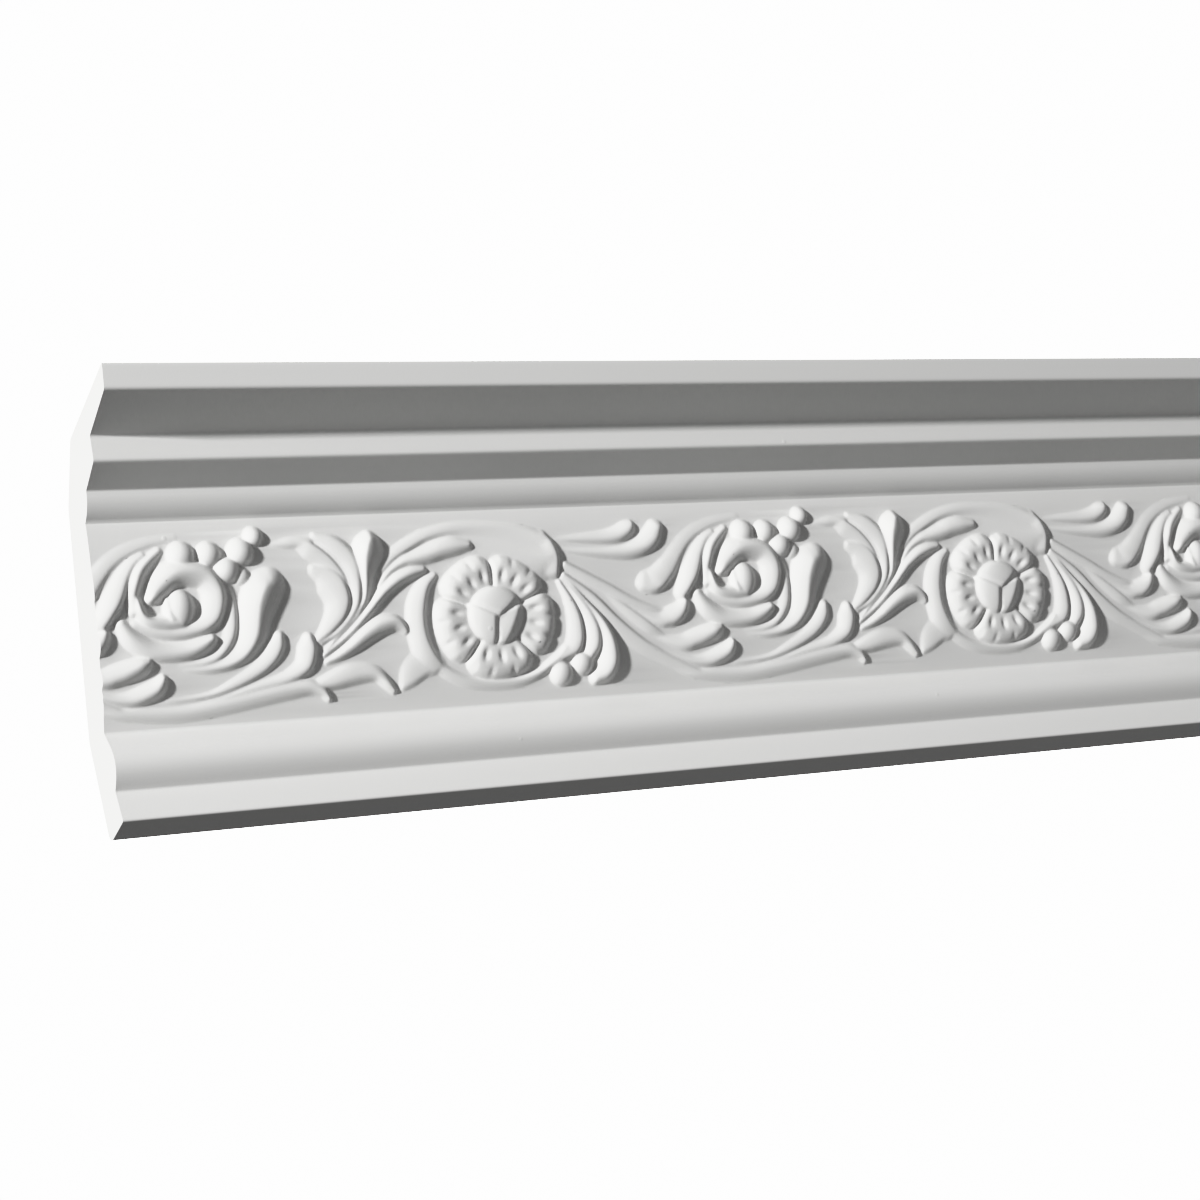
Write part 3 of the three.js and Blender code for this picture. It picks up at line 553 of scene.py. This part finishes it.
def rosette(relief):
    """Puts the petals and then the bud on the relief, in the rosette's own stretched coordinates."""
    centre = np.array(ROSETTE_CENTRE)
    reach = PETAL_RADIUS * 1.2
    columns, rows, u, v = relief.window(centre - reach, centre + reach)
    x = (u - centre[0]) / ROSETTE_STRETCH[0]
    y = (v - centre[1]) / ROSETTE_STRETCH[1]
    relief.put(columns, rows, petals(x, y), 0.3)
    relief.put(columns, rows, bud(x, y), 0.3)


def carved_relief():
    """The whole drawing on one grid, later forms over earlier ones, then softened as a mould softens it."""
    relief = Relief()
    for form in STEMS + HOOD + FINGERS + SCROLL + LOW_LEAVES + FAN + SHEATH + CALYX + RIGHT_LEAVES:
        relief.leaf(**form)
    for form in SCROLL_BERRIES + RING_BERRIES:
        relief.berry(**form)
    relief.press(*SCROLL_HOLLOW)
    rosette(relief)
    relief.soften(SOFTENING)
    return relief


# Outline of the mouldings

def member(start, run, fall, bulge=0.0, steps=1, sag=1.0):
    """Points after the start of one member: along the chord, swelling outwards by
    bulge * (1 - (2 * t^sag - 1)^2)."""
    t = np.arange(1, steps + 1) / steps
    swell = bulge * (1 - (2 * t**sag - 1) ** 2)
    length = math.hypot(run, fall)
    back = start[0] + run * t - swell * fall / length
    height = start[1] - fall * t - swell * run / length
    return np.stack([back, height], 1)


def rounded(points, soft):
    """Replaces each soft corner by four points of a quadratic curve that starts and ends ARRIS from it, or
    less where a flat is short, with a supporting point on either side of it that keeps the flats flat under
    smooth shading."""
    made = []
    for i, corner in enumerate(points):
        if i not in soft:
            made.append(corner)
            continue
        before = points[i - 1] - corner
        after = points[(i + 1) % len(points)] - corner
        gap_before, gap_after = np.linalg.norm(before), np.linalg.norm(after)
        cut = min(ARRIS, 0.3 * gap_before, 0.3 * gap_after)
        a = corner + before / gap_before * cut
        b = corner + after / gap_after * cut
        t = np.linspace(0, 1, 4)[:, None]
        arc = (1 - t) ** 2 * a + 2 * t * (1 - t) * corner + t**2 * b
        if gap_before > 4 * cut:
            made.append(corner + before / gap_before * cut * 1.9)
        made.extend(arc)
        if gap_after > 4 * cut:
            made.append(corner + after / gap_after * cut * 1.9)
    return np.array(made)


def outlines():
    """The plain outline as (Y, Z), from the frieze's lower edge down over the bead, round the foot, up the
    back, over the ceiling strip and down to the frieze's upper edge, and then those two edges. Worked out as
    [distance behind the front edge, height over the ceiling, so below nought]."""
    upper = [np.array([0.0, 0.0])]
    for run, fall in (TOP_FILLET, UPPER_SOFFIT, FASCIA, LOWER_SOFFIT):
        upper.extend(member(upper[-1], run, fall))
    ovolo_at = len(upper) - 1
    upper.extend(member(upper[-1], *OVOLO, OVOLO_BULGE, OVOLO_STEPS))
    top = upper[-1]
    bottom = np.array([FOOT_SET_BACK - BEAD_FALL * BEAD_LEAN, BEAD_FALL + FOOT_FILLET_FALL - DROP])
    lower = [bottom]
    lower.extend(member(bottom, BEAD_FALL * BEAD_LEAN, BEAD_FALL, BEAD_BULGE, BEAD_STEPS, BEAD_SAG))
    bead_end = len(lower) - 1
    lower.extend(member(lower[-1], FOOT_FILLET_RUN, FOOT_FILLET_FALL))
    angle = np.linspace(-math.pi / 2, 0, FOOT_STEPS)
    corner = np.array([PROJECTION - FOOT_ROUNDING, FOOT_ROUNDING - DROP])
    lower.extend(corner + FOOT_ROUNDING * np.stack([np.cos(angle), np.sin(angle)], 1))
    wall_top = len(lower)
    lower.append(np.array([PROJECTION, WALL_STRIP - DROP]))
    lower.append(np.array([CEILING_STRIP + BACK_CHAMFER, -BACK_CHAMFER]))
    lower.append(np.array([CEILING_STRIP, 0.0]))
    loop = np.array(lower + upper)
    first = len(lower)
    soft = {bead_end, bead_end + 1, wall_top, wall_top + 1, wall_top + 2}
    soft |= {first + i for i in range(ovolo_at + 1)}
    around = rounded(loop, soft)
    shift = np.array([-PROJECTION, -ORIGIN_HEIGHT])
    return around + shift, bottom + shift, top + shift


# Mesh of the casting

def frieze_surface(relief, bottom, top):
    """Grid of points of the frieze: up the chord from bottom to top, out by the frieze's own swelling plus
    the relief, and along X over all the repeats. The relief fades out at the chord's two ends."""
    up = top - bottom
    up_length = np.linalg.norm(up)
    out = np.array([-up[1], up[0]]) / up_length
    share = np.linspace(0, 1, relief.rows)
    swelling = FRIEZE_BULGE * (1 - np.abs(2 * share - 1) ** FRIEZE_FLATNESS)
    fade = np.clip(np.minimum(share, 1 - share) / 0.02, 0, 1)
    columns = relief.columns * REPEATS + 1
    height = relief.height[:, np.arange(columns) % relief.columns] * fade[:, None]
    height = swelling[:, None] + height * REPEAT / DRAWN_REPEAT
    x = np.linspace(-LENGTH / 2, LENGTH / 2, columns)
    base = bottom + share[:, None] * up
    grid = np.empty((relief.rows, columns, 3))
    grid[..., 0] = x
    grid[..., 1] = base[:, 0, None] + height * out[0]
    grid[..., 2] = base[:, 1, None] + height * out[1]
    return grid


def casting_mesh():
    """One closed body: the fine frieze, long plain strips for the mouldings and the back, a band of triangles
    where the two meet, and the two cut ends."""
    relief = carved_relief()
    around, bottom, top = outlines()
    grid = frieze_surface(relief, bottom, top)
    rows, columns = grid.shape[:2]
    fine = np.arange(rows * columns).reshape(rows, columns)
    points = [grid.reshape(-1, 3)]
    inner = around[1:-1]
    stations = np.linspace(0, columns - 1, STATIONS).round().astype(int)
    x = grid[0, stations, 0]
    plain = np.empty((len(inner), len(stations), 3))
    plain[..., 0] = x
    plain[..., 1:] = inner[:, None, :]
    coarse = rows * columns + np.arange(plain.shape[0] * plain.shape[1]).reshape(plain.shape[:2])
    points.append(plain.reshape(-1, 3))

    faces = []
    quads = np.stack([fine[:-1, :-1], fine[:-1, 1:], fine[1:, 1:], fine[1:, :-1]], -1).reshape(-1, 4)
    faces.extend(quads.tolist())
    strips = np.stack([coarse[:-1, :-1], coarse[1:, :-1], coarse[1:, 1:], coarse[:-1, 1:]], -1).reshape(-1, 4)
    faces.extend(strips.tolist())
    for fine_row, coarse_row, turned in ((fine[0], coarse[0], False), (fine[-1], coarse[-1], True)):
        for i, (a, b) in enumerate(zip(stations[:-1], stations[1:])):
            edge = fine_row[a : b + 1].tolist()
            face = edge[::-1] + [int(coarse_row[i]), int(coarse_row[i + 1])]
            faces.append(face[::-1] if turned else face)
    for column, station, turned in ((0, 0, False), (-1, -1, True)):
        face = fine[:, column].tolist() + coarse[::-1, station].tolist()
        faces.append(face[::-1] if turned else face)
    return np.vstack(points), faces, rows * columns, columns


def casting():
    """The mesh, its fine frieze thinned where it is plain, smooth but for the two cut ends."""
    points, faces, fine_count, columns = casting_mesh()
    mesh = bpy.data.meshes.new("carved_cornice")
    mesh.from_pydata(points.tolist(), [], faces)
    mesh.update()
    piece = bpy.data.objects.new("carved_cornice", mesh)
    bpy.context.scene.collection.objects.link(piece)
    inside = piece.vertex_groups.new(name="frieze")
    fine = np.arange(fine_count).reshape(-1, columns)
    inside.add(fine[2:-2, 3:-3].ravel().tolist(), 1.0, "REPLACE")
    thin = piece.modifiers.new("thin", "DECIMATE")
    thin.ratio = KEPT_SHARE
    thin.vertex_group = "frieze"
    thin.vertex_group_factor = 1.0
    graph = bpy.context.evaluated_depsgraph_get()
    thinned = bpy.data.meshes.new_from_object(piece.evaluated_get(graph))
    piece.modifiers.clear()
    piece.vertex_groups.clear()
    piece.data = thinned
    bpy.data.meshes.remove(mesh)
    thinned.name = "carved_cornice"
    keep_ends_sharp(thinned)
    print("casting triangles", sum(len(p.vertices) - 2 for p in thinned.polygons))
    return piece


def keep_ends_sharp(mesh):
    """Smooth faces, with only the rims of the two cut ends left sharp."""
    mesh.polygons.foreach_set("use_smooth", np.ones(len(mesh.polygons), bool))
    mesh.set_sharp_from_angle(angle=math.radians(SMOOTH_UP_TO))
    across = np.empty(len(mesh.vertices) * 3)
    mesh.vertices.foreach_get("co", across)
    at_end = np.abs(np.abs(across[::3]) - LENGTH / 2) < 1e-6
    ends = np.empty(len(mesh.edges) * 2, int)
    mesh.edges.foreach_get("vertices", ends)
    ends = ends.reshape(-1, 2)
    sharp = mesh.attributes["sharp_edge"]
    marked = np.empty(len(mesh.edges), bool)
    sharp.data.foreach_get("value", marked)
    marked &= at_end[ends[:, 0]] & at_end[ends[:, 1]]
    sharp.data.foreach_set("value", marked)


# Materials

def white_primer():
    """White factory primer over foam, with a fine orange-peel grain and a few casting pips."""
    material = bpy.data.materials.new("white_primer")
    material.use_nodes = True
    nodes, links = material.node_tree.nodes, material.node_tree.links
    shader = nodes["Principled BSDF"]
    shader.inputs["Base Color"].default_value = (0.8, 0.8, 0.79, 1)
    shader.inputs["Roughness"].default_value = 0.55
    shader.inputs["Specular IOR Level"].default_value = 0.35
    where = nodes.new("ShaderNodeTexCoord")
    grain = nodes.new("ShaderNodeTexNoise")
    grain.inputs["Scale"].default_value = 900
    grain.inputs["Detail"].default_value = 3
    links.new(where.outputs["Object"], grain.inputs["Vector"])
    bump = nodes.new("ShaderNodeBump")
    bump.inputs["Strength"].default_value = 0.3
    bump.inputs["Distance"].default_value = 0.0003
    cells = nodes.new("ShaderNodeTexVoronoi")
    cells.inputs["Scale"].default_value = 70
    links.new(where.outputs["Object"], cells.inputs["Vector"])
    pip = nodes.new("ShaderNodeMapRange")
    pip.interpolation_type = "SMOOTHSTEP"
    pip.inputs["From Min"].default_value = 0.1
    pip.inputs["From Max"].default_value = 0.04
    links.new(cells.outputs["Distance"], pip.inputs["Value"])
    few = nodes.new("ShaderNodeMath")
    few.operation = "GREATER_THAN"
    few.inputs[1].default_value = 0.8
    links.new(cells.outputs["Color"], few.inputs[0])
    pips = nodes.new("ShaderNodeMath")
    pips.operation = "MULTIPLY"
    links.new(pip.outputs["Result"], pips.inputs[0])
    links.new(few.outputs["Value"], pips.inputs[1])
    raised = nodes.new("ShaderNodeMath")
    raised.operation = "MULTIPLY_ADD"
    raised.inputs[1].default_value = 0.3
    links.new(grain.outputs["Fac"], raised.inputs[0])
    links.new(pips.outputs["Value"], raised.inputs[2])
    links.new(raised.outputs["Value"], bump.inputs["Height"])
    links.new(bump.outputs["Normal"], shader.inputs["Normal"])
    return material


# Camera, light and floor

def photo_camera():
    """Camera from the photograph's vanishing points. Its place, from the casting's upper left front corner,
    was worked out for a smaller drop and is scaled to the real one."""
    image_side = 1200
    focal_pixels = 2540
    drop_worked_with = 0.140
    corner = Vector((-LENGTH / 2, -PROJECTION, -ORIGIN_HEIGHT))
    from_corner = Vector((-0.2673, -0.7159, -0.4953))
    data = bpy.data.cameras.new("camera")
    data.sensor_width = 36
    data.lens = data.sensor_width * focal_pixels / image_side
    data.clip_start = 0.05
    data.clip_end = 60
    camera = bpy.data.objects.new("camera", data)
    right = Vector((0.88191, -0.38514, -0.27185))
    up = Vector((0.04837, -0.49969, 0.86485))
    back = -Vector((0.46893, 0.77587, 0.42206))
    place = corner + from_corner * (DROP / drop_worked_with)
    turned = Matrix((right, up, back)).transposed().to_4x4()
    camera.matrix_world = Matrix.Translation(place) @ turned
    bpy.context.scene.collection.objects.link(camera)
    bpy.context.scene.camera = camera


def lamp(name, towards, distance, size, power):
    """Square area light that shines from the given direction at the part of the casting in the picture."""
    beam_angle = 60
    lit_place = Vector((-0.15, -0.06, 0.06))
    data = bpy.data.lights.new(name, "AREA")
    data.size = size
    data.spread = math.radians(beam_angle)
    data.energy = power
    light = bpy.data.objects.new(name, data)
    direction = Vector(towards).normalized()
    light.location = lit_place + direction * distance
    light.rotation_mode = "QUATERNION"
    light.rotation_quaternion = direction.to_track_quat("Z", "Y")
    bpy.context.scene.collection.objects.link(light)


def white_room():
    """White all round for the camera, and a dimmer even light on the casting."""
    world = bpy.data.worlds.new("white_room")
    world.use_nodes = True
    nodes, links = world.node_tree.nodes, world.node_tree.links
    lit = nodes["Background"]
    lit.inputs["Color"].default_value = (1, 1, 1, 1)
    lit.inputs["Strength"].default_value = 0.24
    seen = nodes.new("ShaderNodeBackground")
    seen.inputs["Color"].default_value = (1, 1, 1, 1)
    seen.inputs["Strength"].default_value = 6.0
    rays = nodes.new("ShaderNodeLightPath")
    mix = nodes.new("ShaderNodeMixShader")
    links.new(rays.outputs["Is Camera Ray"], mix.inputs["Fac"])
    links.new(lit.outputs["Background"], mix.inputs[1])
    links.new(seen.outputs["Background"], mix.inputs[2])
    links.new(mix.outputs["Shader"], nodes["World Output"].inputs["Surface"])
    bpy.context.scene.world = world


def pale_floor():
    """Plain pale floor of the room that the cornice hangs in."""
    side, height = 12.0, -2.5
    mesh = bpy.data.meshes.new("floor")
    corners = [(-side, -side, height), (side, -side, height), (side, side, height), (-side, side, height)]
    mesh.from_pydata(corners, [], [(0, 1, 2, 3)])
    floor = bpy.data.objects.new("floor", mesh)
    material = bpy.data.materials.new("pale_floor")
    material.use_nodes = True
    material.node_tree.nodes["Principled BSDF"].inputs["Base Color"].default_value = (0.55, 0.55, 0.55, 1)
    material.node_tree.nodes["Principled BSDF"].inputs["Roughness"].default_value = 0.8
    mesh.materials.append(material)
    bpy.context.scene.collection.objects.link(floor)


photo_camera()
cornice = casting()
cornice.data.materials.clear()
cornice.data.materials.append(white_primer())
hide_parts("cornice")
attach(cornice, "root")

pale_floor()
white_room()
lamp("key", (-0.88, -0.46, 0.1), 5.5, 0.32, 42)
bpy.context.scene.view_settings.view_transform = "Khronos PBR Neutral"
